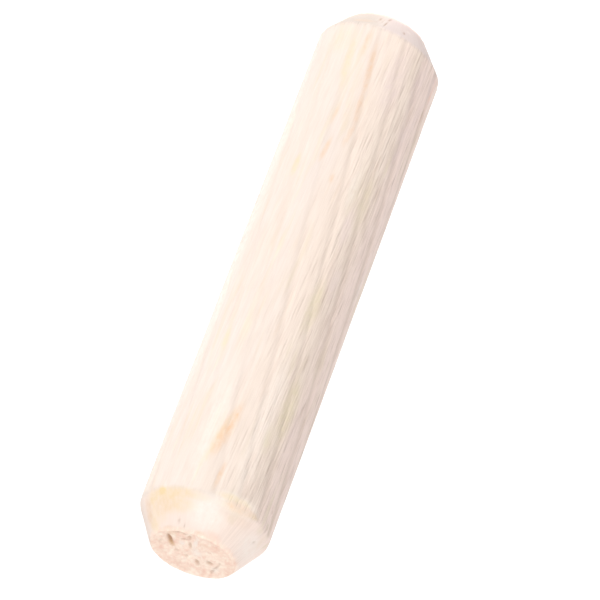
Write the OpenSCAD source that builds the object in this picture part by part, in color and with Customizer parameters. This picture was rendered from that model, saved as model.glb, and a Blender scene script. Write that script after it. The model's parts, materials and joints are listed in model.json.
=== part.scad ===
// Plain wooden dowel pin, standing on its foot end.
// One turned piece: a round shank with a long cone cut on each end, to lead it into a drilled hole.
// Shallow V-grooves wind round the shank from end to end, evenly spaced, and let glue and air past it in the hole.
// They were rolled into the rod before its ends were cut, so each one runs out on the cones.
// The top cone runs true. The foot cone was cut with the rod a little off the cutter's centre, so it reaches
// higher up the shank on one side than on the other, and the foot face sits beside the shank's axis.
// The origin is on the shank's axis, level with the foot face, and +Z runs along the axis to the top face.

/* [Shank] */
// Length of the pin from foot face to top face
pin_length = 38; // [20:0.5:80]
// Diameter of the shank
pin_d = 8; // [7:0.1:16]

/* [Grooves] */
// Number of grooves round the shank
groove_count = 16; // [4:1:24]
// Width of a groove at the surface of the shank
groove_width = 0.5; // [0.1:0.05:0.6]
// Depth of a groove below the surface of the shank
groove_depth = 0.1; // [0.05:0.01:0.4]
// Turn of the grooves round the shank over its whole length, left-handed
groove_twist = 60; // [0:5:120]
// Angle from +X to the first groove, at the foot face
groove_start = 11; // [0:0.5:90]

/* [Top end] */
// Length of the cone cut on the top end
top_cone_length = 2.2; // [1:0.1:4]
// Diameter of the flat top face
top_face_d = 5.3; // [3:0.1:6.3]
// Radius of the soft shoulder between the shank and the top cone
top_shoulder_r = 0.8; // [0.2:0.1:1.5]
// Radius of the worn rim round the top face
top_rim_r = 0.1; // [0.05:0.05:0.4]

/* [Foot end] */
// Length of the cone that the foot cutter would leave on a rod in its centre
foot_cone_length = 1.9; // [1:0.1:4]
// Diameter of the flat foot face
foot_face_d = 5.4; // [3:0.1:6.3]
// Distance of the foot cutter's axis from the shank's axis, towards +X
foot_offset = 0.2; // [0:0.05:0.4]
// Radius of the worn rim round the foot face
foot_rim_r = 0.1; // [0.05:0.05:0.4]

/* [Hidden] */
$fn = 128;

// Pale raw wood
wood = [0.93, 0.86, 0.76];
// Room round the shank inside the foot cutter, above its cone
cutter_room = 1;
// How far a groove's cutter stands out of the shank
groove_cutter_proud = 0.1;
// Turn of a groove's cutter from one of its sections to the next, at most
groove_step = 2.5;

shank_r = pin_d / 2;

function unit(v) = v / norm(v);

// How far along its two edges a round of radius r takes a corner, where u and v point along the edges
function round_reach(r, u, v) = r * tan(90 - acos(u * v) / 2);

// Centre of that round, from the corner
function round_centre(r, u, v) = (u + v) * r / sin(acos(u * v));

// Closed outline through a list of corners, each rounded by its own radius, or left sharp where that is 0
module rounded_outline(corners, radii) {
    last = len(corners) - 1;
    back = [for (i = [0:last]) unit(corners[i == 0 ? last : i - 1] - corners[i])];
    ahead = [for (i = [0:last]) unit(corners[i == last ? 0 : i + 1] - corners[i])];
    reach = [for (i = [0:last]) round_reach(radii[i], back[i], ahead[i])];
    polygon([
        for (i = [0:last])
            each radii[i] > 0
                ? [corners[i] + back[i] * reach[i], corners[i] + ahead[i] * reach[i]]
                : [corners[i]]
    ]);
    for (i = [0:last])
        if (radii[i] > 0)
            translate(corners[i] + round_centre(radii[i], back[i], ahead[i]))
                circle(r = radii[i]);
}

// The rod with its top end cut, standing on a square-sawn foot
module turned_rod() {
    rotate_extrude()
        rounded_outline(
            [
                [0, 0],
                [shank_r, 0],
                [shank_r, pin_length - top_cone_length],
                [top_face_d / 2, pin_length],
                [0, pin_length]
            ],
            [0, 0, top_shoulder_r, top_rim_r, 0]
        );
}

// What the foot cutter leaves: a cone that opens past the shank, then room all round it
module foot_cutter_space() {
    room_r = shank_r + foot_offset + cutter_room;
    cone_slope = (shank_r - foot_face_d / 2) / foot_cone_length;
    translate([foot_offset, 0, 0])
        rotate_extrude()
            rounded_outline(
                [
                    [0, 0],
                    [foot_face_d / 2, 0],
                    [room_r, (room_r - foot_face_d / 2) / cone_slope],
                    [room_r, pin_length + cutter_room],
                    [0, pin_length + cutter_room]
                ],
                [0, foot_rim_r, 0, 0, 0]
            );
}

// The V-shaped cutter of one groove, wound round the shank from the foot face to the top face
module groove_cutter() {
    lip_r = sqrt(shank_r ^ 2 - (groove_width / 2) ^ 2);
    groove_floor_r = shank_r - groove_depth;
    proud_r = shank_r + groove_cutter_proud;
    proud_width = groove_width * (proud_r - groove_floor_r) / (lip_r - groove_floor_r);
    linear_extrude(
        height = pin_length,
        twist = groove_twist,
        slices = 1 + ceil(groove_twist / groove_step),
        segments = 0
    )
        polygon([
            [groove_floor_r, 0],
            [proud_r, -proud_width / 2],
            [proud_r, proud_width / 2]
        ]);
}

module grooves() {
    for (i = [0:groove_count - 1])
        rotate(groove_start + i * 360 / groove_count)
            groove_cutter();
}

module dowel_pin() {
    color(wood)
        difference() {
            intersection() {
                turned_rod();
                foot_cutter_space();
            }
            grooves();
        }
}

dowel_pin();
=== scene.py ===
"""A plain wooden dowel pin on its foot end, dressed in raw pale wood, in a white studio."""

import json
import logging
import math
from dataclasses import dataclass, field
from enum import Enum
from typing import Any, Optional, Sequence, Union

import bmesh
import bpy
from mathutils import Matrix, Vector, noise


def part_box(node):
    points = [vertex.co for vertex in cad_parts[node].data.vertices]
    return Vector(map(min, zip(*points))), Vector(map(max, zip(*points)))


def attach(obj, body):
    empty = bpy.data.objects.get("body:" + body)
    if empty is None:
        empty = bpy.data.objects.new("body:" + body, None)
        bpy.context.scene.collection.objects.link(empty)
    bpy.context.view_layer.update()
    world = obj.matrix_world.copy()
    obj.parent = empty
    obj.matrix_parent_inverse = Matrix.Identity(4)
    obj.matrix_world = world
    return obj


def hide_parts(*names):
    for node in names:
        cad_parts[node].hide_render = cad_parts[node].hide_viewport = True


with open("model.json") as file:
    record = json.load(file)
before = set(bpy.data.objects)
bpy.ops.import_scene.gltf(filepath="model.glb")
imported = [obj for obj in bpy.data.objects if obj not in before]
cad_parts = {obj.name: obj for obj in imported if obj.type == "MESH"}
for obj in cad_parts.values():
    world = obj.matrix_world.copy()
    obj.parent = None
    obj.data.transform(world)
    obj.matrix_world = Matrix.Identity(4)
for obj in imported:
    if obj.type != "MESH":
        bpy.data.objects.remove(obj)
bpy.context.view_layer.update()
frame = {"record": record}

LOG = logging.getLogger("dowel_pin")
MM = 0.001
# Keeps a division away from 0
TINY = 1e-9
# A mark is whole out to its core and gone past its edge, as shares of its half width and half length
MARK_CORE = 0.35
MARK_EDGE = 1.25
# The middle of a noise texture's values, and what stretches them to about -1 and 1
NOISE_MIDDLE = 0.5
NOISE_GAIN = 4.0

Colour = tuple[float, float, float]
Size = tuple[float, float, float]
Range = tuple[float, float]


def shown(red: int, green: int, blue: int) -> Colour:
    """Turns a colour as it is seen on a screen into the linear one that a shader takes.

    Args:
        red, green, blue: The colour's parts, from 0 to 255.

    Returns:
        The linear colour.
    """
    def linear(part: int) -> float:
        """The linear value of one part."""
        share = part / 255
        return share / 12.92 if share <= 0.04045 else ((share + 0.055) / 1.055) ** 2.4

    return linear(red), linear(green), linear(blue)


def smooth_step(low: float, high: float, value: float) -> float:
    """The share of the way from low to high, eased at both ends."""
    share = min(1.0, max(0.0, (value - low) / (high - low)))
    return share * share * (3 - 2 * share)


# ---- the shape of the pin


class Tint(Enum):
    """What a small patch of the wood looks like. Each value names a vertex attribute of the mesh."""

    TORN = "torn"
    BURNISHED = "burnished"
    PALE = "pale"
    OLIVE = "olive"
    SALMON = "salmon"
    MAUVE = "mauve"
    DARK = "dark"


class Feature(Enum):
    """What the wood's finish reads at each point of the mesh. Each value names a vertex attribute."""

    GROOVE = "groove"
    END_GRAIN = "end_grain"
    CUT = "cut"
    # Where the foot cone's painted shade lies
    FOOT = "foot"
    # The coarse side, away from the front light, where the finish also paints shade
    COARSE = "coarse"


class Zone(Enum):
    """The part of the pin's skin that a point lies on."""

    SIDE = "side"
    TOP_FACE = "top_face"
    FOOT_FACE = "foot_face"


@dataclass(frozen=True)
class Mark:
    """A small oval patch of another tint, sunk into the wood if it has a depth.

    On the side, across is the angle from +X in degrees and along is the height over the foot face. On
    an end face they are x and y. Lengths are in millimetres. strength is the share of the tint in the
    middle. lean turns the oval, in degrees: above 0, its end with the larger along moves towards a smaller
    across.
    """

    tint: Tint
    across: float
    along: float
    half_width: float
    half_length: float
    strength: float = 1.0
    lean: float = 0.0
    depth: float = 0.0

    def reach(self, aside: float, along: float) -> float:
        """How much of the mark is at a point.

        Args:
            aside: Distance of the point from the mark's middle, across the fibres, in millimetres.
            along: Distance from it along them.

        Returns:
            1 in the middle of the mark, falling to 0 outside it.
        """
        turn = math.radians(self.lean)
        u = (aside * math.cos(turn) + along * math.sin(turn)) / self.half_width
        v = (along * math.cos(turn) - aside * math.sin(turn)) / self.half_length
        return 1 - smooth_step(MARK_CORE, MARK_EDGE, math.hypot(u, v))


@dataclass(frozen=True)
class Grooves:
    """Shallow V-grooves that wind round the shank, evenly spaced, partly filled again with fibres.

    They bow and drift a little from true spirals. columns is the number of columns of the mesh's points
    for each groove, and gather how far these crowd towards it. flat and reach bound a groove's slope, as
    shares of half its width.
    """

    count: int = 16
    width: float = 0.5 * MM
    depth: float = 0.1 * MM
    turn: float = math.radians(60)
    start: float = math.radians(11)
    bow: float = math.radians(2.5)
    drift: float = math.radians(2.2)
    drift_from: float = math.radians(225)
    filled: float = 0.45
    fill_change: float = 0.25
    fill_along: float = 4 * MM
    fill_apart: int = 7
    columns: int = 16
    gather: float = 0.6
    flat: float = 0.1
    reach: float = 1.4

    @property
    def pitch(self) -> float:
        """Angle from one groove to the next."""
        return 2 * math.pi / self.count

    def angle(self, column: int, height_share: float) -> float:
        """Angle of one column of the mesh's points. The columns follow the grooves and gather at them.

        Args:
            column: The column's number.
            height_share: Height of the point as a share of the pin's length.

        Returns:
            The angle from +X.
        """
        bowed = self.bow * (math.sin(math.pi * height_share) - 2 / math.pi)
        turned = self.start - self.turn * height_share + bowed
        angle = (column // self.columns + self.gathered(column)) * self.pitch
        top_angle = angle + self.start - self.turn
        return angle + turned + self.drift * math.sin(top_angle - self.drift_from)

    def gathered(self, column: int) -> float:
        """Place of a column between its groove and the next ones, from -0.5 to 0.5 of the pitch."""
        share = (column % self.columns) / self.columns - 0.5
        return (1 - self.gather) * share + 4 * self.gather * share**3

    def sunk(self, column: int, radius: float) -> float:
        """Share of a groove's depth that a column has on a shank of this radius, 0 between grooves."""
        aside = abs(self.gathered(column)) * self.pitch * radius / (self.width / 2)
        return 1 - smooth_step(self.flat, self.reach, aside)

    def kept_open(self, column: int, height: float) -> float:
        """How much of its depth a groove has kept, where fibres fill it again.

        Args:
            column: The number of a column of the mesh's points.
            height: Height of the point.

        Returns:
            The share of the whole depth.
        """
        groove = column // self.columns
        change = noise.noise(Vector((self.fill_apart * groove, 0, height / self.fill_along)))
        return 1 - self.filled + self.fill_change * change


@dataclass(frozen=True)
class ConeCut:
    """The cone that a cutter leaves on one end of the pin."""

    length: float
    face_radius: float
    rim: float
    shoulder: float = 0.0
    offset: float = 0.0

    def slope(self, radius: float) -> float:
        """Growth of the cone's radius with its height, on a shank of this radius."""
        return (radius - self.face_radius) / self.length


@dataclass(frozen=True)
class Relief:
    """Unevenness of the wood itself, cut with dull knives and then rolled.

    The shank swells, the cones are rubbed, the end faces torn and their rims nibbled. rough_shaded_side is
    the angle in degrees of the wood's coarse side, which faces away from the front light; the finish paints
    shade there as well as coarser grain. Up to rough_within from it the wood is wholly coarse, and past
    smooth_beyond it is smooth.
    """

    swell: float = 0.012 * MM
    swell_across: float = 1.1 * MM
    swell_along: float = 9.0 * MM
    rub: float = 0.02 * MM
    rub_size: float = 0.5 * MM
    rub_from: float = 0.1 * MM
    tear: float = 0.05 * MM
    tear_size: float = 0.3 * MM
    fine_tear: float = 0.5
    fine_tear_size: float = 0.135 * MM
    tear_bias: float = 0.5
    tear_slope: float = 0.7
    whole_rim: float = 0.9
    nibble: float = 0.07 * MM
    nibble_size: float = 0.35 * MM
    nibble_reach: float = 0.35 * MM
    nibble_bias: float = 0.3
    rough_shaded_side: float = 180.0
    rough_within: float = 25.0
    smooth_beyond: float = 120.0

    def roughness(self, angle: float) -> float:
        """How coarse the wood is at an angle in degrees: 1 on its rough side, 0 on its smooth one."""
        away = abs((angle - self.rough_shaded_side + 180) % 360 - 180)
        return 1 - smooth_step(self.rough_within, self.smooth_beyond, away)

    def nibbled(self, spot: Vector, from_rim: float) -> float:
        """How far a point this far from the rim of an end face has crumbled away."""
        near_rim = 1 - smooth_step(0, self.nibble_reach, from_rim)
        return near_rim * self.nibble * max(0.0, self.nibble_bias + noise.noise(spot / self.nibble_size))

    def swollen(self, spot: Vector) -> float:
        """How far the shank's wall stands back, from the swell along its fibres.

        Args:
            spot: A point of the wall.

        Returns:
            The distance, up to the whole swell.
        """
        across, along = self.swell_across, self.swell_along
        wave = noise.noise(Vector((spot.x / across, spot.y / across, spot.z / along)))
        return self.swell * (1 + wave) / 2

    def rubbed(self, spot: Vector, below: float) -> float:
        """How far a cone's wall stands back at a point that lies this far below the shank's wall."""
        worn = self.rub * (1 + noise.noise(spot / self.rub_size)) / 2
        return smooth_step(0, self.rub_from, below) * worn

    def torn(self, spot: Vector, face_radius: float, from_middle: float) -> float:
        """How deep the end grain is torn.

        Args:
            spot: The point, on an end face.
            face_radius: Radius of that face.
            from_middle: Distance of the point from the face's middle.

        Returns:
            The depth, 0 at the rim.
        """
        inside = 1 - smooth_step(self.whole_rim, 1, from_middle / face_radius)
        coarse = noise.noise(Vector((spot.x, spot.y, 0)) / self.tear_size)
        fine = noise.noise(Vector((spot.x, spot.y, face_radius)) / self.fine_tear_size)
        ragged = coarse + self.fine_tear * fine
        return inside * self.tear * max(0.0, self.tear_bias + self.tear_slope * ragged)


@dataclass
class Outline:
    """Half of the pin's section, as points of radius and height, from the foot's middle to the top's."""

    points: list[Vector] = field(default_factory=list)

    def line(self, end: Vector, pieces: int) -> None:
        """Goes straight to a point in a number of equal pieces."""
        start = self.points[-1]
        self.points += [start.lerp(end, (i + 1) / pieces) for i in range(pieces)]

    def corner(self, corner: Vector, after: Vector, radius: float, pieces: int, arc_pieces: int) -> None:
        """Goes to a corner and round it.

        Args:
            corner: The sharp corner.
            after: The next corner, which the outline turns to.
            radius: Radius of the round.
            pieces: Number of pieces of the straight way to the round.
            arc_pieces: Number of pieces of the round.
        """
        back = (self.points[-1] - corner).normalized()
        ahead = (after - corner).normalized()
        half_angle = back.angle(ahead) / 2
        middle = corner + (back + ahead).normalized() * radius / math.sin(half_angle)
        begin = corner + back * radius / math.tan(half_angle)
        self.line(begin, pieces)
        spoke = begin - middle
        turn = math.pi - 2 * half_angle
        for i in range(arc_pieces):
            swing = Matrix.Rotation(turn * (i + 1) / arc_pieces, 2)
            self.points.append(middle + swing @ spoke)


@dataclass
class DowelPin:
    """The whole pin: a grooved shank with a cone cut on each end.

    The numbers of rings are those of the mesh. Up to settle_height the shank's rings follow the slanted
    foot shoulder. end_fade and foot_shade_blur soften the edges of the end grain and of the foot cone's
    painted shade. At cut_from below the shank's wall the wood begins to look cut, and at cut_to it looks
    wholly so.
    Points closer than weld are one.
    """

    radius: float
    length: float
    grooves: Grooves = field(default_factory=Grooves)
    relief: Relief = field(default_factory=Relief)
    top: ConeCut = ConeCut(2.2 * MM, 2.65 * MM, rim=0.1 * MM, shoulder=0.8 * MM)
    foot: ConeCut = ConeCut(1.9 * MM, 2.7 * MM, rim=0.1 * MM, offset=0.2 * MM)
    shank_rings: int = 276
    cone_rings: int = 16
    face_rings: int = 20
    round_rings: int = 4
    settle_height: float = 5 * MM
    end_fade: float = 0.3 * MM
    foot_shade_blur: float = 0.25 * MM
    cut_from: float = 0.02 * MM
    cut_to: float = 0.15 * MM
    weld: float = 0.0005 * MM

    def outline(self) -> Outline:
        """Draws half of the section, as if both cones ran true.

        Returns:
            The outline, from the foot's middle to the top's.
        """
        foot_rim = Vector((self.foot.face_radius, 0))
        foot_shoulder = Vector((self.radius, self.foot.length))
        top_shoulder = Vector((self.radius, self.length - self.top.length))
        top_rim = Vector((self.top.face_radius, self.length))
        drawn = Outline([Vector((0, 0))])
        drawn.corner(foot_rim, foot_shoulder, self.foot.rim, self.face_rings, self.round_rings)
        drawn.line(foot_shoulder, self.cone_rings)
        drawn.corner(top_shoulder, top_rim, self.top.shoulder, self.shank_rings, self.round_rings)
        drawn.corner(top_rim, Vector((0, self.length)), self.top.rim, self.cone_rings, self.round_rings)
        drawn.line(Vector((0, self.length)), self.face_rings)
        return drawn

    def spun(self) -> bmesh.types.BMesh:
        """Spins the outline round +Z, with its columns evenly spaced.

        Returns:
            The closed skin, with its faces pointing outwards.
        """
        skin = bmesh.new()
        last = None
        for point in self.outline().points:
            vert = skin.verts.new((point.x, 0, point.y))
            if last is not None:
                skin.edges.new((last, vert))
            last = vert
        bmesh.ops.spin(
            skin,
            geom=skin.verts[:] + skin.edges[:],
            cent=(0, 0, 0),
            axis=(0, 0, 1),
            angle=2 * math.pi,
            steps=self.grooves.count * self.grooves.columns,
            use_merge=True,
        )
        bmesh.ops.remove_doubles(skin, verts=skin.verts[:], dist=self.weld)
        bmesh.ops.recalc_face_normals(skin, faces=skin.faces[:])
        return skin

    def foot_cone(self, angle: float, radius: float, height: float) -> Vector:
        """Moves a point of the true foot cone to the cone that was cut beside the shank's axis.

        Args:
            angle: Angle of the point from +X.
            radius: Its radius on the true cone.
            height: Its height there.

        Returns:
            The point's place.
        """
        offset = self.foot.offset
        shoulder = math.sqrt(self.radius**2 - 2 * self.radius * offset * math.cos(angle) + offset**2)
        up_cone = max(0.0, (radius - self.foot.face_radius) / (self.radius - self.foot.face_radius))
        cut = radius + up_cone * (shoulder - self.radius)
        lifted = height + (cut - radius) / self.foot.slope(self.radius)
        out = offset * math.cos(angle) + math.sqrt(cut**2 - (offset * math.sin(angle)) ** 2)
        return Vector((out * math.cos(angle), out * math.sin(angle), lifted))

    def foot_shoulder(self, angle: float) -> float:
        """Height of the foot cone's slanted shoulder at an angle."""
        return self.foot_cone(angle, self.radius, self.foot.length).z

    def foot_face(self, angle: float, radius: float) -> Vector:
        """Moves a point of the foot face inside its rim, which sits beside the shank's axis.

        Args:
            angle: Angle of the point from +X.
            radius: Its radius on a face in the middle.

        Returns:
            The point's place.
        """
        rim = self.foot.face_radius
        middle = Vector((self.foot.offset, 0, 0))
        edge = self.foot_cone(angle, rim, 0)
        return middle + (edge - middle) * radius / rim

    def shank(self, angle: float, height: float) -> Vector:
        """Moves a point of the shank's wall, so that the lowest ones follow the slanted foot shoulder.

        Args:
            angle: Angle of the point from +X.
            height: Its height on a shank with a level shoulder.

        Returns:
            The point's place.
        """
        share = (height - self.foot.length) / (self.settle_height - self.foot.length)
        if share < 1:
            shoulder = self.foot_shoulder(angle)
            height = shoulder + max(0.0, share) * (self.settle_height - shoulder)
        return Vector((self.radius * math.cos(angle), self.radius * math.sin(angle), height))

    def place(self, radius: float, height: float, column: int) -> tuple[Vector, Zone, float]:
        """Finds where a point of the spun outline belongs.

        Args:
            radius: Radius of the point on the outline.
            height: Its height.
            column: Number of its column.

        Returns:
            The point's place, the zone that it lies in, and how deep it lies in a groove, from 0 to 1.
        """
        angle = self.grooves.angle(column, height / self.length)
        if height <= 0 and radius < self.foot.face_radius:
            return self.foot_face(angle, radius), Zone.FOOT_FACE, 0.0
        if height >= self.length:
            spot = Vector((radius * math.cos(angle), radius * math.sin(angle), height))
            return spot, Zone.TOP_FACE, 0.0
        if height < self.foot.length:
            spot = self.foot_cone(angle, radius, height)
        elif height <= self.length - self.top.length - self.top.shoulder:
            spot = self.shank(angle, height)
        else:
            spot = Vector((radius * math.cos(angle), radius * math.sin(angle), height))
        sunk = self.grooves.sunk(column, self.radius)
        floor = self.radius - self.grooves.depth * sunk * self.grooves.kept_open(column, height)
        out = math.hypot(spot.x, spot.y)
        if sunk > 0 and out > floor:
            spot.x *= floor / out
            spot.y *= floor / out
            return spot, Zone.SIDE, sunk * (out - floor) / max(self.radius - floor, TINY)
        return spot, Zone.SIDE, 0.0

    def roughened(self, spot: Vector, zone: Zone) -> Vector:
        """Moves a point inwards by the unevenness of the wood.

        Args:
            spot: The point's place.
            zone: The zone that it lies in.

        Returns:
            Its new place.
        """
        relief = self.relief
        out = math.hypot(spot.x, spot.y)
        if zone is Zone.SIDE:
            inwards = relief.swollen(spot) + relief.rubbed(spot, self.radius - self.grooves.depth - out)
            inwards += relief.nibbled(spot, min(spot.z, self.length - spot.z))
            return spot - Vector((spot.x, spot.y, 0)).normalized() * inwards
        face = self.top if zone is Zone.TOP_FACE else self.foot
        sunk = relief.torn(spot, face.face_radius, math.hypot(spot.x - face.offset, spot.y))
        kept = 1 - relief.nibbled(spot, face.face_radius - out) / out if out > 0 else 1.0
        return Vector((spot.x * kept, spot.y * kept, spot.z + self.into(zone) * sunk))

    @staticmethod
    def into(zone: Zone) -> int:
        """Which way along Z leads into the wood from an end face."""
        return -1 if zone is Zone.TOP_FACE else 1

    def column(self, point: Vector) -> int:
        """Number of the column that a point of the spun outline stands in."""
        columns = self.grooves.count * self.grooves.columns
        return round(math.atan2(point.y, point.x) / (2 * math.pi) * columns) % columns

    def features(self, spot: Vector, sunk: float) -> dict[Feature, float]:
        """Finds what the wood's finish has to know about a point.

        Args:
            spot: The point's place.
            sunk: How deep it lies in a groove, from 0 to 1.

        Returns:
            The share of each feature there, from 0 to 1.
        """
        angle = math.atan2(spot.y, spot.x)
        from_end = min(spot.z, self.length - spot.z)
        below = self.radius - self.grooves.depth * sunk - math.hypot(spot.x, spot.y)
        above_foot = spot.z - self.foot_shoulder(angle)
        return {
            Feature.GROOVE: sunk,
            Feature.END_GRAIN: 1 - smooth_step(0, self.end_fade, from_end),
            Feature.CUT: smooth_step(self.cut_from, self.cut_to, below),
            # Where the foot cone's painted shade lies
            Feature.FOOT: 1 - smooth_step(-self.foot_shade_blur, self.foot_shade_blur, above_foot),
            Feature.COARSE: self.relief.roughness(math.degrees(angle)),
        }

    @staticmethod
    def marked(spot: Vector, zone: Zone, marks: Sequence[Mark]) -> tuple[dict[Tint, float], float]:
        """Finds what the marks do to a point.

        Args:
            spot: The point's place.
            zone: The zone that it lies in.
            marks: The marks of that zone.

        Returns:
            The strength of each tint there, and how deep the marks sink the point.
        """
        tints = dict.fromkeys(Tint, 0.0)
        deep = 0.0
        radius = math.hypot(spot.x, spot.y)
        angle = math.degrees(math.atan2(spot.y, spot.x))
        for mark in marks:
            if zone is Zone.SIDE:
                aside = math.radians((angle - mark.across + 180) % 360 - 180) * radius / MM
                along = spot.z / MM - mark.along
            else:
                aside = spot.x / MM - mark.across
                along = spot.y / MM - mark.along
            share = mark.reach(aside, along)
            tints[mark.tint] = max(tints[mark.tint], mark.strength * share)
            deep = max(deep, mark.depth * share * MM)
        return tints, deep

    def build(self, name: str, marks: dict[Zone, Sequence[Mark]]) -> bpy.types.Object:
        """Builds the pin's mesh, with its features and marks as attributes.

        Args:
            name: Name of the new object.
            marks: The marks on each zone.

        Returns:
            The new object, at the origin.
        """
        skin = self.spun()
        layers = {kind: skin.verts.layers.float.new(kind.value) for kind in (*Tint, *Feature)}
        for vert in skin.verts:
            radius = math.hypot(vert.co.x, vert.co.y)
            spot, zone, sunk = self.place(radius, vert.co.z, self.column(vert.co))
            features = self.features(spot, sunk)
            spot = self.roughened(spot, zone)
            tints, deep = self.marked(spot, zone, marks.get(zone, ()))
            if zone is Zone.SIDE:
                spot -= Vector((spot.x, spot.y, 0)).normalized() * deep
            else:
                spot.z += self.into(zone) * deep
            for kind, share in (*features.items(), *tints.items()):
                vert[layers[kind]] = share
            vert.co = spot
        mesh = bpy.data.meshes.new(name)
        for face in skin.faces:
            face.smooth = True
        skin.to_mesh(mesh)
        skin.free()
        pin = bpy.data.objects.new(name, mesh)
        bpy.context.scene.collection.objects.link(pin)
        return pin


# ---- the finish of the wood


Operand = Union["Value", float]


class Value:
    """A number, place or colour over a surface: one socket of a shader graph, for use in arithmetic."""

    def __init__(self, graph: "Graph", socket: bpy.types.NodeSocket) -> None:
        """Wraps a socket of a graph."""
        self.graph = graph
        self.socket = socket

    def __add__(self, other: Operand) -> "Value":
        """The sum."""
        return self.graph.math("ADD", self, other)

    __radd__ = __add__

    def __sub__(self, other: Operand) -> "Value":
        """The difference."""
        return self.graph.math("SUBTRACT", self, other)

    def __rsub__(self, other: Operand) -> "Value":
        """The difference, the other way round."""
        return self.graph.math("SUBTRACT", other, self)

    def __mul__(self, other: Operand) -> "Value":
        """The product."""
        return self.graph.math("MULTIPLY", self, other)

    __rmul__ = __mul__

    def __truediv__(self, other: Operand) -> "Value":
        """The quotient."""
        return self.graph.math("DIVIDE", self, other)

    def __pow__(self, other: Operand) -> "Value":
        """The power."""
        return self.graph.math("POWER", self, other)

    def clamped(self) -> "Value":
        """The value kept between 0 and 1."""
        return self.graph.math("ADD", self, 0.0, clamp=True)

    def frayed(self, by: "Value") -> "Value":
        """The value with its soft edges frayed by a noise, which counts wholly where it is a half."""
        return (self + by * self * (1 - self) * 4.0).clamped()

    def stepped(self, low: float, high: float) -> "Value":
        """The eased share of the way from low to high, or back where high is the lower one."""
        node = self.graph.node(
            "ShaderNodeMapRange",
            {"interpolation_type": "SMOOTHSTEP"},
            {"Value": self, "From Min": low, "From Max": high, "To Min": 0.0, "To Max": 1.0},
        )
        return Value(self.graph, node.outputs["Result"])


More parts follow.
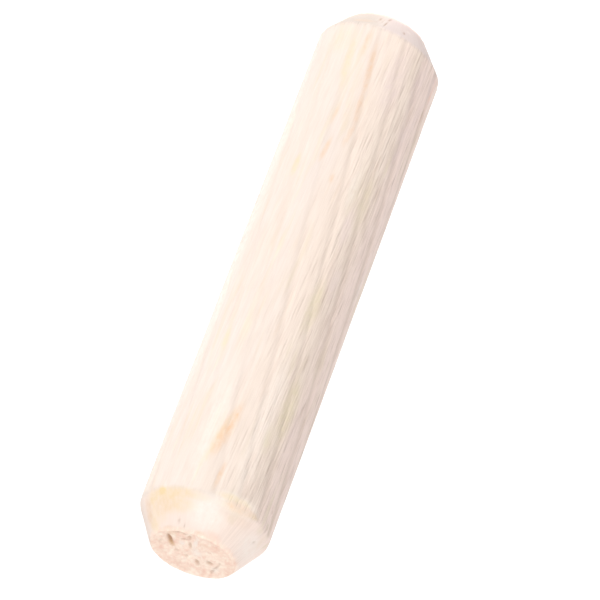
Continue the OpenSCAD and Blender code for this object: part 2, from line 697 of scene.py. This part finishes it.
class Graph:
    """The node graph of one material."""

    def __init__(self, name: str) -> None:
        """Starts a material with an empty graph.

        Args:
            name: Name of the material.
        """
        self.material = bpy.data.materials.new(name)
        self.material.use_nodes = True
        self.tree = self.material.node_tree
        self.tree.nodes.clear()

    def node(
        self,
        kind: str,
        settings: Optional[dict[str, Any]] = None,
        sockets: Optional[dict[Any, Any]] = None,
    ) -> bpy.types.Node:
        """Adds a node.

        Args:
            kind: The node's type.
            settings: Its own settings, set before its sockets.
            sockets: Values or links for its input sockets, by name, identifier or number.

        Returns:
            The new node.
        """
        made = self.tree.nodes.new(kind)
        for key, value in (settings or {}).items():
            setattr(made, key, value)
        for key, value in (sockets or {}).items():
            socket = self.find(made.inputs, key)
            if isinstance(value, Value):
                self.tree.links.new(value.socket, socket)
            elif socket.type == "RGBA":
                socket.default_value = (*value, 1.0)
            else:
                socket.default_value = value
        return made

    @staticmethod
    def find(sockets: Any, key: Union[str, int]) -> bpy.types.NodeSocket:
        """Finds a socket of a node.

        Args:
            sockets: The node's inputs or outputs.
            key: The socket's number, identifier or name.

        Returns:
            The socket.
        """
        if isinstance(key, int):
            return sockets[key]
        return next((s for s in sockets if s.identifier == key), None) or sockets[key]

    def math(self, operation: str, a: Operand, b: Operand = 0.0, clamp: bool = False) -> Value:
        """The result of a Math node, kept between 0 and 1 if it is clamped."""
        made = self.node("ShaderNodeMath", {"operation": operation, "use_clamp": clamp}, {0: a, 1: b})
        return Value(self, made.outputs[0])

    def attribute(self, kind: Union[Tint, Feature]) -> Value:
        """The share of a tint or a feature at each point of the mesh."""
        made = self.node("ShaderNodeAttribute", {"attribute_name": kind.value})
        return Value(self, made.outputs["Fac"])

    def place(self) -> Value:
        """The place on the object, in metres."""
        return Value(self, self.node("ShaderNodeTexCoord").outputs["Object"])

    def grain(self, place: Value, radius: float, lean: float) -> Value:
        """The place pushed out to the shank's wall and sheared, so that the grain runs along Z.

        Args:
            place: The place on the object.
            radius: Radius of the shank.
            lean: How far the grain moves towards +X for each step up the pin.

        Returns:
            The pushed and sheared place.
        """
        parts = self.node("ShaderNodeSeparateXYZ", None, {0: place})
        across, through, along = (Value(self, part) for part in parts.outputs)
        out = (across * across + through * through + TINY) ** 0.5
        x = across / out * radius - along * lean
        made = self.node("ShaderNodeCombineXYZ", None, {0: x, 1: through / out * radius, 2: along})
        return Value(self, made.outputs[0])

    def stretched(self, where: Value, size: Size) -> Value:
        """A place in units of a pattern's own size along each axis."""
        made = self.node("ShaderNodeVectorMath", {"operation": "DIVIDE"}, {0: where, 1: size})
        return Value(self, made.outputs[0])

    def noise(self, where: Value, size: Size, detail: float = 2.0, roughness: float = 0.5) -> Value:
        """Noise centred on 0, mostly within -1 and 1.

        Args:
            where: The place to read it at.
            size: Size of its blotches along each axis.
            detail: Number of finer layers.
            roughness: Strength of each finer layer.

        Returns:
            The noise.
        """
        made = self.node(
            "ShaderNodeTexNoise",
            {"noise_dimensions": "3D"},
            {
                "Vector": self.stretched(where, size),
                "Scale": 1.0,
                "Detail": detail,
                "Roughness": roughness,
            },
        )
        return (Value(self, made.outputs["Fac"]) - NOISE_MIDDLE) * NOISE_GAIN

    def cells(self, where: Value, size: Size) -> tuple[Value, Value]:
        """Scatters points, one in each cell.

        Args:
            where: The place to read them at.
            size: Size of a cell along each axis.

        Returns:
            The distance to the nearest point, in cells, and that point's own random number.
        """
        made = self.node(
            "ShaderNodeTexVoronoi",
            {"voronoi_dimensions": "3D", "feature": "F1"},
            {"Vector": self.stretched(where, size), "Scale": 1.0, "Randomness": 1.0},
        )
        parts = self.node("ShaderNodeSeparateColor", None, {0: Value(self, made.outputs["Color"])})
        return Value(self, made.outputs["Distance"]), Value(self, parts.outputs[0])

    def blend(self, share: Operand, a: Union[Value, Colour], b: Union[Value, Colour]) -> Value:
        """Mixes two colours.

        Args:
            share: Share of the second one.
            a: The first colour.
            b: The second one.

        Returns:
            The mixed colour.
        """
        made = self.node(
            "ShaderNodeMix",
            {"data_type": "RGBA", "clamp_factor": True},
            {"Factor_Float": share, "A_Color": a, "B_Color": b},
        )
        return Value(self, self.find(made.outputs, "Result_Color"))

    def relief(self, height: Value) -> Value:
        """The surface's direction, bent by a relief in metres."""
        bump = self.node("ShaderNodeBump", None, {"Height": height, "Strength": 1.0, "Distance": 1.0})
        return Value(self, bump.outputs["Normal"])

    def surface(self, sockets: dict[str, Any]) -> bpy.types.Material:
        """Closes the graph with a plain surface.

        Args:
            sockets: Values or links for the shader's sockets, by name.

        Returns:
            The finished material.
        """
        shader = self.node("ShaderNodeBsdfPrincipled", None, sockets)
        out = self.node("ShaderNodeOutputMaterial")
        self.tree.links.new(shader.outputs["BSDF"], out.inputs["Surface"])
        return self.material


@dataclass(frozen=True)
class Growth:
    """A strength that grows from the wood's smooth side to its coarse one."""

    smooth: float
    more: float
    power: float = 1.0

    def at(self, coarse: Value) -> Value:
        """The strength where the wood is this coarse."""
        return self.smooth + self.more * coarse**self.power


@dataclass(frozen=True)
class Patterns:
    """What the wood's tones are mixed from: noises, pores and what the mesh says of each point."""

    fibre: Value
    strand: Value
    band: Value
    tone: Value
    ragged: Value
    speckle: Value
    blotch: Value
    mottle: Value
    patch: Value
    pore: Value
    groove: Value
    end: Value
    side: Value
    cut: Value
    foot: Value
    # The coarse side, away from the front light: coarser grain, and where the finish paints shade
    coarse: Value


@dataclass(frozen=True)
class RawWood:
    """Raw, pale wood: the tones of its fibres, pores, torn flecks and rubbed patches.

    lean is how far the grain moves towards +X for each step up the pin. A size is that of a pattern's
    blotches along each axis. A range is what a pattern or the coarseness goes through while a tone comes
    in, and a share is how much of the tone shows then. What is lost is lost on a cone, where the wood is
    cut. shade is how much of the pores' tone lies over the whole shank, and shade_more how much more lies
    away from the coarsest wood, twice as much where the wood is still coarse.
    """

    cream: Colour = shown(230, 215, 202)
    blush: Colour = shown(225, 208, 196)
    # Darker, less red tones for the smooth side facing the front light: painted shade against its strong
    # light
    peach_lit_shade: Colour = shown(217, 206, 199)
    straw_lit_shade: Colour = shown(217, 202, 190)
    lilac: Colour = shown(234, 214, 205)
    mauve: Colour = shown(214, 194, 192)
    olive: Colour = shown(212, 198, 172)
    ochre: Colour = shown(232, 208, 176)
    cut_cone: Colour = shown(233, 214, 203)
    # The foot cone's two darker tones: partly its greyer cut wood, partly painted shade that holds back the
    # floor's bounce light. The second lies on the side facing the front light and is darker still.
    foot_cone: Colour = shown(199, 187, 184)
    foot_lit_side_shade: Colour = shown(188, 179, 171)
    end: Colour = shown(244, 228, 212)
    salmon: Colour = shown(228, 190, 172)
    # Painted shade laid into the grooves
    groove: Colour = shown(192, 172, 158)
    torn: Colour = shown(216, 183, 153)
    burnished: Colour = shown(224, 200, 158)
    pale: Colour = shown(236, 228, 220)
    dark: Colour = shown(140, 92, 40)
    pore: Colour = shown(190, 168, 154)

    radius: float = 4 * MM
    lean: float = 0.045
    fibre_size: Size = (0.1 * MM, 0.1 * MM, 1.7 * MM)
    strand_size: Size = (0.24 * MM, 0.24 * MM, 3.4 * MM)
    band_size: Size = (1.3 * MM, 1.3 * MM, 14 * MM)
    tone_size: Size = (0.65 * MM, 0.65 * MM, 5.6 * MM)
    ragged_size: Size = (0.12 * MM, 0.12 * MM, 0.9 * MM)
    speckle_size: Size = (0.2 * MM, 0.2 * MM, 0.3 * MM)
    blotch_size: Size = (0.45 * MM, 0.45 * MM, 0.45 * MM)
    mottle_size: Size = (0.22 * MM, 0.4 * MM, 1 * MM)
    patch_size: Size = (0.7 * MM, 1.1 * MM, 1 * MM)
    pore_size: Size = (0.2 * MM, 0.2 * MM, 2.4 * MM)
    pore_reach: Range = (0.45, 0.1)
    pore_choice: Range = (0.35, 0.6)
    end_fray: float = 0.5
    # How ragged the edge of the foot cone's painted shade is
    foot_shade_fray: float = 0.4
    foot_shade_fine_fray: float = 0.3

    # Where the smooth side, facing the front light, takes its painted shade, and how much
    lit_shade_range: Range = (0.45, 0.0)
    lit_shade_share: float = 0.85
    lilac_range: Range = (0.75, 1.0)
    warm_range: Range = (0.2, 1.2)
    olive_share: float = 0.6
    cool_range: Range = (-0.2, -1.2)
    mauve_share: float = 0.6
    ochre_share: float = 0.5
    cone_share: float = 0.8
    # Painted shade on the foot cone: where its darkest tone lies, and how much shows
    foot_shade_range: Range = (0.22, 0.0)
    foot_shade_share: float = 0.9
    # Streaks darker towards the coarse side, away from the front light: coarser grain and painted shade
    fibre_streaks: Growth = Growth(0.125, 0.38, 2.0)
    strand_streaks: Growth = Growth(0.08, 0.13, 2.5)
    pore_streaks: Growth = Growth(0.06, 0.35, 1.4)
    shade: float = 0.03
    shade_range: Range = (1.0, 0.85)
    shade_more: float = 0.08
    shade_more_range: Range = (0.5, 0.7)
    # Painted shade in the grooves: a little all over, far more on the coarse side, away from the front
    # light
    groove_shade_share: Growth = Growth(0.11, 0.34, 3.5)
    groove_shade_strands: float = 0.12
    streaks_lost: float = 0.5
    pores_lost: float = 0.7
    relief_lost: float = 0.6
    end_salmon: float = 0.42
    end_mottle: float = 0.42
    end_patch: float = 0.3
    pit_ragged: float = 0.2
    mark_ragged: float = 0.15
    mark_blotch: float = 0.45
    mark_speckle: float = 0.35

    specular: float = 0.3
    roughness: float = 0.62
    fibre_roughness: float = 0.05
    cone_polish: float = 0.04
    fibre_height: float = 0.011 * MM
    strand_height: float = 0.006 * MM
    relief: Growth = Growth(0.3, 1.75, 1.5)
    pore_depth: float = 0.02 * MM
    pore_relief: Growth = Growth(0.3, 1.0)
    end_height: float = 0.02 * MM

    def patterns(self, g: Graph) -> Patterns:
        """Sets up the noises and the pores, and reads what the mesh says.

        Args:
            g: The material's graph.

        Returns:
            All that the tones are mixed from.
        """
        place = g.place()
        grain = g.grain(place, self.radius, self.lean)
        fibre = g.noise(grain, self.fibre_size, detail=3.0, roughness=0.6)
        ragged = g.noise(grain, self.ragged_size)
        speckle = g.noise(place, self.speckle_size, detail=3.0, roughness=0.6)
        end = g.attribute(Feature.END_GRAIN).frayed(speckle * self.end_fray)
        side = 1 - end
        cut = g.attribute(Feature.CUT)
        # Frays the edge of the foot cone's painted shade
        foot_shade_noise = fibre * self.foot_shade_fray + ragged * self.foot_shade_fine_fray
        distance, number = g.cells(grain, self.pore_size)
        pore = distance.stepped(*self.pore_reach) * number.stepped(*self.pore_choice)
        return Patterns(
            fibre=fibre,
            strand=g.noise(grain, self.strand_size),
            band=g.noise(grain, self.band_size),
            tone=g.noise(grain, self.tone_size),
            ragged=ragged,
            speckle=speckle,
            blotch=g.noise(place, self.blotch_size),
            mottle=g.noise(place, self.mottle_size, detail=3.0, roughness=0.6),
            patch=g.noise(place, self.patch_size, detail=1.0),
            pore=pore * (1 - self.pores_lost * cut) * side,
            groove=g.attribute(Feature.GROOVE),
            end=end,
            side=side,
            cut=cut,
            foot=g.attribute(Feature.FOOT).frayed(foot_shade_noise),
            coarse=g.attribute(Feature.COARSE),
        )

    def broad(self, g: Graph, p: Patterns) -> Value:
        """Mixes the broad tones of the shank and the cones.

        Args:
            g: The material's graph.
            p: The patterns.

        Returns:
            The colour.
        """
        colour = g.blend((p.band * 0.5 + 0.5).clamped(), self.cream, self.blush)
        # The smooth side, facing the front light, gets darker, less red tones: painted shade
        smooth = g.blend((0.5 - p.band * 0.5).clamped(), self.peach_lit_shade, self.straw_lit_shade)
        colour = g.blend(p.coarse.stepped(*self.lit_shade_range) * self.lit_shade_share, colour, smooth)
        colour = g.blend(p.coarse.stepped(*self.lilac_range), colour, self.lilac)
        colour = g.blend(p.tone.stepped(*self.warm_range) * self.olive_share, colour, self.olive)
        cool = p.tone.stepped(*self.cool_range)
        colour = g.blend(cool * self.mauve_share * p.coarse, colour, self.mauve)
        colour = g.blend(cool * self.ochre_share * (1 - p.coarse), colour, self.ochre)
        colour = g.blend(p.cut * p.side * self.cone_share, colour, self.cut_cone)
        # Painted shade on the foot cone, against the floor's bounce light, darkest on the side facing the
        # front light
        foot = g.blend(p.coarse.stepped(*self.foot_shade_range), self.foot_cone, self.foot_lit_side_shade)
        return g.blend(p.foot * p.side * self.foot_shade_share, colour, foot)

    def streaked(self, g: Graph, p: Patterns, colour: Value) -> Value:
        """Draws the streaks of fibres and pores over a colour, and paints shade into the grooves.

        Args:
            g: The material's graph.
            p: The patterns.
            colour: The colour under them.

        Returns:
            The streaked colour.
        """
        # Darker streaks towards the coarse side, away from the front light: coarser grain and painted shade
        streaks = p.fibre * self.fibre_streaks.at(p.coarse) + p.strand * self.strand_streaks.at(p.coarse)
        streaks = streaks + p.pore * self.pore_streaks.at(p.coarse) + self.shade
        more = self.shade_more + self.shade_more * p.coarse.stepped(*self.shade_more_range)
        streaks = streaks + p.coarse.stepped(*self.shade_range) * more
        colour = g.blend((streaks * (1 - self.streaks_lost * p.cut)).clamped(), colour, self.pore)
        # Painted shade in the grooves, deepest on the coarse side, away from the front light
        uneven = p.strand * self.groove_shade_strands * p.coarse**self.groove_shade_share.power
        return g.blend(p.groove * (self.groove_shade_share.at(p.coarse) + uneven), colour, self.groove)

    def marked(self, g: Graph, p: Patterns, colour: Value) -> Value:
        """Lays the tints of the marks over a colour, each one uneven.

        Args:
            g: The material's graph.
            p: The patterns.
            colour: The colour under them.

        Returns:
            The marked colour.
        """
        pitted = p.ragged * self.pit_ragged
        patchy = p.ragged * self.mark_ragged + p.blotch * self.mark_blotch + p.speckle * self.mark_speckle
        for tint, shade, uneven in (
            (Tint.OLIVE, self.olive, patchy),
            (Tint.MAUVE, self.mauve, patchy),
            (Tint.PALE, self.pale, patchy),
            (Tint.SALMON, self.salmon, patchy),
            (Tint.BURNISHED, self.burnished, patchy),
            (Tint.TORN, self.torn, patchy),
            (Tint.DARK, self.dark, pitted),
        ):
            there = g.attribute(tint)
            colour = g.blend((there + uneven * there).clamped(), colour, shade)
        return colour

    def height(self, p: Patterns) -> Value:
        """Works out the fine relief.

        Args:
            p: The patterns.

        Returns:
            Its height, in metres.
        """
        height = (p.fibre * self.fibre_height + p.strand * self.strand_height) * self.relief.at(p.coarse)
        height = height * (1 - self.relief_lost * p.cut) * p.side
        height = height - p.pore * self.pore_depth * self.pore_relief.at(p.coarse)
        return height + p.end * p.mottle * self.end_height

    def material(self) -> bpy.types.Material:
        """Makes the material.

        Returns:
            The finished material, which reads the pin's attributes and Object coordinates.
        """
        g = Graph("raw_wood")
        p = self.patterns(g)
        colour = self.streaked(g, p, self.broad(g, p))
        warm = p.mottle * self.end_mottle + p.patch * self.end_patch + self.end_salmon
        end_tone = g.blend(warm.clamped(), self.end, self.salmon)
        colour = self.marked(g, p, g.blend(p.end, colour, end_tone))
        roughness = self.roughness + p.fibre * self.fibre_roughness - p.cut * self.cone_polish
        return g.surface(
            {
                "Base Color": colour,
                "Roughness": roughness.clamped(),
                "Specular IOR Level": self.specular,
                "Normal": g.relief(self.height(p)),
            }
        )


# ---- the studio


@dataclass(frozen=True)
class SoftLight:
    """A square softbox that faces the pin."""

    name: str
    azimuth: float
    elevation: float
    distance: float
    side: float
    power: float

    def build(self, aim: Vector) -> None:
        """Sets the softbox up.

        Args:
            aim: The point that it faces.
        """
        lamp = bpy.data.lights.new(self.name, "AREA")
        lamp.shape = "SQUARE"
        lamp.size = self.side
        lamp.energy = self.power
        lamp.use_shadow = False
        light = bpy.data.objects.new(self.name, lamp)
        turn, rise = math.radians(self.azimuth), math.radians(self.elevation)
        towards = Vector((math.cos(turn) * math.cos(rise), math.sin(turn) * math.cos(rise), math.sin(rise)))
        light.location = aim + towards * self.distance
        light.rotation_euler = towards.to_track_quat("Z", "Y").to_euler()
        bpy.context.scene.collection.objects.link(light)


@dataclass(frozen=True)
class Viewpoint:
    """Where the camera stands, and how it is held. lens and sensor are in millimetres."""

    aim: Vector
    elevation: float
    roll: float
    distance: float
    lens: float
    sensor: float = 36.0
    nearest: float = 10 * MM

    def build(self) -> None:
        """Sets the camera up as the scene's own, in front of the pin, on its -Y side."""
        data = bpy.data.cameras.new("camera")
        data.lens = self.lens
        data.sensor_width = self.sensor
        data.clip_start = self.nearest
        camera = bpy.data.objects.new("camera", data)
        rise = math.radians(self.elevation)
        up, out = math.sin(rise), math.cos(rise)
        away = Vector((0, -out, up))
        level = Matrix(((1, 0, 0), (0, up, -out), (0, out, up)))
        held = level @ Matrix.Rotation(math.radians(self.roll), 3, "Z")
        camera.matrix_world = Matrix.Translation(self.aim + away * self.distance) @ held.to_4x4()
        bpy.context.scene.collection.objects.link(camera)
        bpy.context.scene.camera = camera


@dataclass
class Studio:
    """A white floor and soft light from all round, stronger from the pin's +X side."""

    floor_side: float = 3.0
    floor_white: Colour = (0.9, 0.9, 0.9)
    floor_glow: float = 0.12
    floor_roughness: float = 0.8
    floor_specular: float = 0.1
    sky_white: Colour = (1.0, 1.0, 1.0)
    sky_strength: float = 0.15
    lights: tuple[SoftLight, ...] = (
        SoftLight("front", azimuth=300, elevation=12, distance=0.5, side=0.24, power=2.2),
        SoftLight("back", azimuth=160, elevation=56, distance=0.5, side=0.3, power=2.4),
        SoftLight("side", azimuth=35, elevation=24, distance=0.5, side=0.3, power=0.95),
    )

    def floor(self, height: float) -> None:
        """Lays the floor.

        Args:
            height: Height of its surface.
        """
        grid = bmesh.new()
        bmesh.ops.create_grid(grid, x_segments=1, y_segments=1, size=self.floor_side / 2)
        bmesh.ops.translate(grid, verts=grid.verts[:], vec=(0, 0, height))
        mesh = bpy.data.meshes.new("floor")
        grid.to_mesh(mesh)
        grid.free()
        floor = bpy.data.objects.new("floor", mesh)
        bpy.context.scene.collection.objects.link(floor)
        white = {
            "Base Color": self.floor_white,
            "Roughness": self.floor_roughness,
            "Specular IOR Level": self.floor_specular,
            "Emission Color": self.floor_white,
            "Emission Strength": self.floor_glow,
        }
        mesh.materials.append(Graph("floor_white").surface(white))

    def sky(self) -> None:
        """Lights the scene evenly from all round."""
        world = bpy.data.worlds.new("sky")
        world.use_nodes = True
        background = world.node_tree.nodes["Background"]
        background.inputs["Color"].default_value = (*self.sky_white, 1.0)
        background.inputs["Strength"].default_value = self.sky_strength
        bpy.context.scene.world = world

    def build(self, aim: Vector, floor_height: float) -> None:
        """Sets the whole studio up.

        Args:
            aim: The point that the softboxes face.
            floor_height: Height of the floor.
        """
        self.floor(floor_height)
        self.sky()
        for light in self.lights:
            light.build(aim)
        bpy.context.scene.view_settings.view_transform = "Standard"


# ---- the marks on this pin


SIDE_MARKS = (
    # torn flecks and burnished spots on the shank
    Mark(Tint.TORN, 280.5, 31.65, 0.43, 2.1, 0.62, lean=-10),
    Mark(Tint.TORN, 278, 31.1, 0.12, 1.5, 0.95, lean=-10),
    Mark(Tint.OLIVE, 285, 32.3, 0.14, 2.1, 0.9, lean=-10),
    Mark(Tint.TORN, 272, 34.5, 0.16, 1.05, 0.5, lean=-3),
    Mark(Tint.TORN, 275, 5, 0.2, 2.2, 0.55, lean=5),
    Mark(Tint.TORN, 272, 7.8, 0.2, 1.4, 0.5, lean=5),
    Mark(Tint.TORN, 271.5, 9.8, 0.15, 1.1, 0.45, lean=-8),
    Mark(Tint.BURNISHED, 282, 7, 0.3, 3.2, 0.15, lean=4),
    Mark(Tint.TORN, 272.5, 13.2, 0.1, 0.5, 0.4, lean=-6),
    Mark(Tint.TORN, 287, 11.3, 0.17, 1, 0.5, lean=-6),
    Mark(Tint.TORN, 290, 8.6, 0.14, 0.9, 0.3, lean=-6),
    Mark(Tint.TORN, 286, 3.1, 0.2, 1, 0.45),
    Mark(Tint.BURNISHED, 297, 4.6, 0.3, 2.2, 0.35, lean=4),
    Mark(Tint.BURNISHED, 312, 25.4, 0.22, 1, 0.4),
    Mark(Tint.BURNISHED, 309, 12.6, 0.22, 0.9, 0.4),
    # rubbed, torn and stained patches on the top cone and its shoulder, and a painted highlight
    Mark(Tint.BURNISHED, 320, 36, 0.42, 0.22, 1),
    Mark(Tint.BURNISHED, 308, 36.1, 2.3, 0.34, 0.52),
    Mark(Tint.BURNISHED, 314, 36.6, 1.9, 0.6, 0.5),
    Mark(Tint.BURNISHED, 333, 36.3, 0.6, 0.4, 0.55),
    Mark(Tint.BURNISHED, 336, 37.5, 0.6, 0.5, 0.45),
    Mark(Tint.BURNISHED, 330, 37, 1, 0.7, 0.32),
    Mark(Tint.TORN, 345, 36.8, 0.5, 0.75, 0.4),
    Mark(Tint.TORN, 318, 36.75, 0.9, 0.45, 0.18),
    Mark(Tint.PALE, 250, 35.75, 1.7, 0.6, 0.8, lean=6, depth=0.13),
    Mark(Tint.SALMON, 244, 35.78, 1.2, 0.34, 0.5, lean=6),
    # The burnished patch on the rounded shoulder at 252°: painted highlight where the shoulder catches the
    # light
    Mark(Tint.BURNISHED, 252, 35.5, 1.3, 0.26, 0.45, lean=6),
    Mark(Tint.BURNISHED, 247, 35.85, 1.4, 0.36, 0.28, lean=6),
    Mark(Tint.TORN, 243, 36.3, 1.3, 0.5, 0.15, lean=6),
    Mark(Tint.BURNISHED, 230, 35.75, 0.55, 0.2, 0.3, lean=6),
    Mark(Tint.OLIVE, 246, 36.35, 0.36, 0.5, 0.35),
    Mark(Tint.OLIVE, 213, 36.05, 0.32, 0.26, 0.32),
    Mark(Tint.OLIVE, 208, 35.5, 0.2, 0.28, 0.42),
    Mark(Tint.TORN, 199, 36.35, 0.26, 0.6, 0.16, lean=50),
    Mark(Tint.DARK, 207, 36.65, 0.16, 0.08, 0.3, depth=0.02),
    Mark(Tint.PALE, 202, 36.8, 0.14, 0.26, 0.5),
    Mark(Tint.OLIVE, 187, 36, 0.18, 0.34, 0.5),
    Mark(Tint.DARK, 208, 34.6, 0.07, 0.45, 0.25, lean=35),
    Mark(Tint.PALE, 271, 36.7, 1.3, 1, 0.5),
    Mark(Tint.PALE, 203, 36.9, 1.5, 0.9, 0.4),
    Mark(Tint.SALMON, 255, 37.75, 0.7, 0.25, 0.4),
    Mark(Tint.TORN, 270, 37.85, 0.3, 0.1, 0.5),
    Mark(Tint.TORN, 312, 37.85, 0.5, 0.1, 0.3),
    Mark(Tint.DARK, 299, 37.5, 0.06, 0.16, 0.35),
    Mark(Tint.DARK, 291, 37.7, 0.05, 0.14, 0.3),
    # flecks, pits and tones of the foot cone
    Mark(Tint.MAUVE, 255, 0.1, 5, 0.22, 0.6),
    Mark(Tint.TORN, 300, 1.3, 0.8, 0.22, 0.3),
    Mark(Tint.DARK, 285, 0.85, 0.06, 0.45, 0.45, lean=-9, depth=0.02),
    Mark(Tint.DARK, 281, 1, 0.05, 0.35, 0.22, lean=-9, depth=0.02),
    Mark(Tint.DARK, 277, 1.2, 0.06, 0.4, 0.5, lean=-9, depth=0.02),
    Mark(Tint.DARK, 275, 0.5, 0.08, 0.25, 0.45, lean=-20, depth=0.02),
    Mark(Tint.DARK, 256, 1.3, 0.1, 0.17, 0.45, depth=0.03),
    Mark(Tint.PALE, 250, 0.9, 0.16, 0.16, 0.2),
    Mark(Tint.PALE, 281, 1, 0.5, 1, 0.12),
    # uneven tones, small pits and a painted sheen along the shank
    # A long pale band along the lit edge at 350°: painted sheen, not the wood's own tone
    Mark(Tint.PALE, 350, 17.5, 1.3, 19, 0.48),
    Mark(Tint.PALE, 253, 30.5, 0.7, 6, 0.22),
    Mark(Tint.PALE, 293, 31.5, 0.7, 5, 0.2),
    Mark(Tint.MAUVE, 251, 4.8, 0.8, 3, 0.3),
    Mark(Tint.BURNISHED, 310, 3, 1.2, 1.2, 0.15),
    Mark(Tint.PALE, 251, 13.2, 0.35, 1.6, 0.3),
    Mark(Tint.PALE, 201, 18.6, 0.3, 1.2, 0.2),
    Mark(Tint.MAUVE, 244, 15.8, 0.4, 1.6, 0.3),
    Mark(Tint.MAUVE, 222, 8.5, 0.45, 2.2, 0.35),
    Mark(Tint.MAUVE, 237, 19.6, 0.35, 1.4, 0.3),
    Mark(Tint.OLIVE, 235, 28.6, 0.6, 2.4, 0.65),
    Mark(Tint.OLIVE, 244, 31, 0.34, 1.2, 0.5),
    Mark(Tint.OLIVE, 247, 21.6, 0.5, 2, 0.6),
    Mark(Tint.OLIVE, 237, 13.6, 0.5, 2.2, 0.4),
    Mark(Tint.MAUVE, 206, 2.9, 0.4, 1.6, 0.4),
    Mark(Tint.SALMON, 201, 3.4, 0.12, 1.4, 0.35),
    Mark(Tint.MAUVE, 226, 4, 0.5, 2.4, 0.4),
    Mark(Tint.DARK, 203, 5.6, 0.14, 0.9, 0.2, depth=0.03),
    Mark(Tint.DARK, 202, 22.3, 0.12, 0.7, 0.16, depth=0.03),
)

TOP_MARKS = (
    Mark(Tint.SALMON, 0.45, 1.85, 0.6, 0.5, 0.4),
    Mark(Tint.SALMON, 1.9, 0.4, 0.4, 0.8, 0.35),
    Mark(Tint.SALMON, -1.2, -1.6, 0.5, 0.5, 0.35),
    Mark(Tint.SALMON, -2.2, 0.5, 0.3, 0.5, 0.5),
    Mark(Tint.SALMON, -0.65, -2.25, 0.55, 0.3, 0.35),
    Mark(Tint.TORN, 1.55, -1.8, 0.35, 0.4, 0.35),
    Mark(Tint.TORN, -0.5, -1.7, 0.4, 0.12, 0.35),
    Mark(Tint.PALE, 0.05, -1.4, 0.16, 0.9, 0.6),
    Mark(Tint.PALE, 0.8, -1, 0.22, 0.3, 0.5),
    Mark(Tint.PALE, -0.2, -0.4, 0.4, 0.5, 0.4),
    Mark(Tint.PALE, -1.55, 0.95, 0.25, 0.6, 0.4, lean=-11),
    Mark(Tint.TORN, 1.36, -0.42, 0.22, 0.36, 1, lean=20),
    Mark(Tint.DARK, 1.56, -0.92, 0.19, 0.62, 0.72, lean=20, depth=0.1),
    Mark(Tint.DARK, 1.35, -2.15, 0.42, 0.1, 0.5, depth=0.04),
    Mark(Tint.DARK, 0.95, -2.2, 0.34, 0.09, 0.35, depth=0.04),
    Mark(Tint.DARK, 0.5, -1.95, 0.14, 0.3, 0.35, depth=0.05),
    Mark(Tint.DARK, 0.8, -1.5, 0.4, 0.07, 0.35, lean=20, depth=0.05),
    Mark(Tint.DARK, -0.42, 0.78, 0.16, 0.4, 0.42, lean=17, depth=0.05),
    Mark(Tint.DARK, -1.1, 0.32, 0.26, 0.26, 0.42, lean=-24, depth=0.05),
    Mark(Tint.DARK, -1.55, 0.6, 0.07, 1.05, 0.42, lean=-11, depth=0.05),
    Mark(Tint.DARK, -1.42, 1.3, 0.12, 0.34, 0.45, lean=-11, depth=0.05),
    Mark(Tint.DARK, 0.3, -1, 0.12, 0.4, 0.4, lean=12, depth=0.05),
    Mark(Tint.DARK, 0.3, 0.45, 0.15, 0.2, 0.25, depth=0.04),
    Mark(Tint.DARK, 0.95, 0.2, 0.1, 0.3, 0.25, lean=15, depth=0.04),
    Mark(Tint.DARK, -0.75, -0.9, 0.3, 0.08, 0.2, depth=0.04),
    Mark(Tint.DARK, 2.03, -0.2, 0.08, 0.5, 0.25, lean=4, depth=0.04),
)


def main() -> None:
    """Builds the pin and its studio."""
    logging.basicConfig(level=logging.INFO, format="%(message)s")
    low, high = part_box("dowel_pin")
    shank = next(m for m in frame["record"]["mounts"] if m["name"] == "shank")
    pin = DowelPin(radius=shank["dims"]["r_mm"] * MM, length=high.z - low.z)
    piece = pin.build("dowel_pin_wood", {Zone.SIDE: SIDE_MARKS, Zone.TOP_FACE: TOP_MARKS})
    piece.data.materials.append(RawWood().material())
    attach(piece, "root")
    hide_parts("dowel_pin")
    triangles = sum(len(p.vertices) - 2 for p in piece.data.polygons)
    LOG.info("%s: %d triangles", piece.name, triangles)

    middle = Vector((0, 0, pin.length / 2))
    Studio().build(middle, low.z)
    aim = Vector((-0.631 * MM, 0.231 * MM, 19.425 * MM))
    Viewpoint(aim, elevation=29.07, roll=-159.34, distance=277 * MM, lens=275.45).build()


if __name__ == "__main__":
    main()
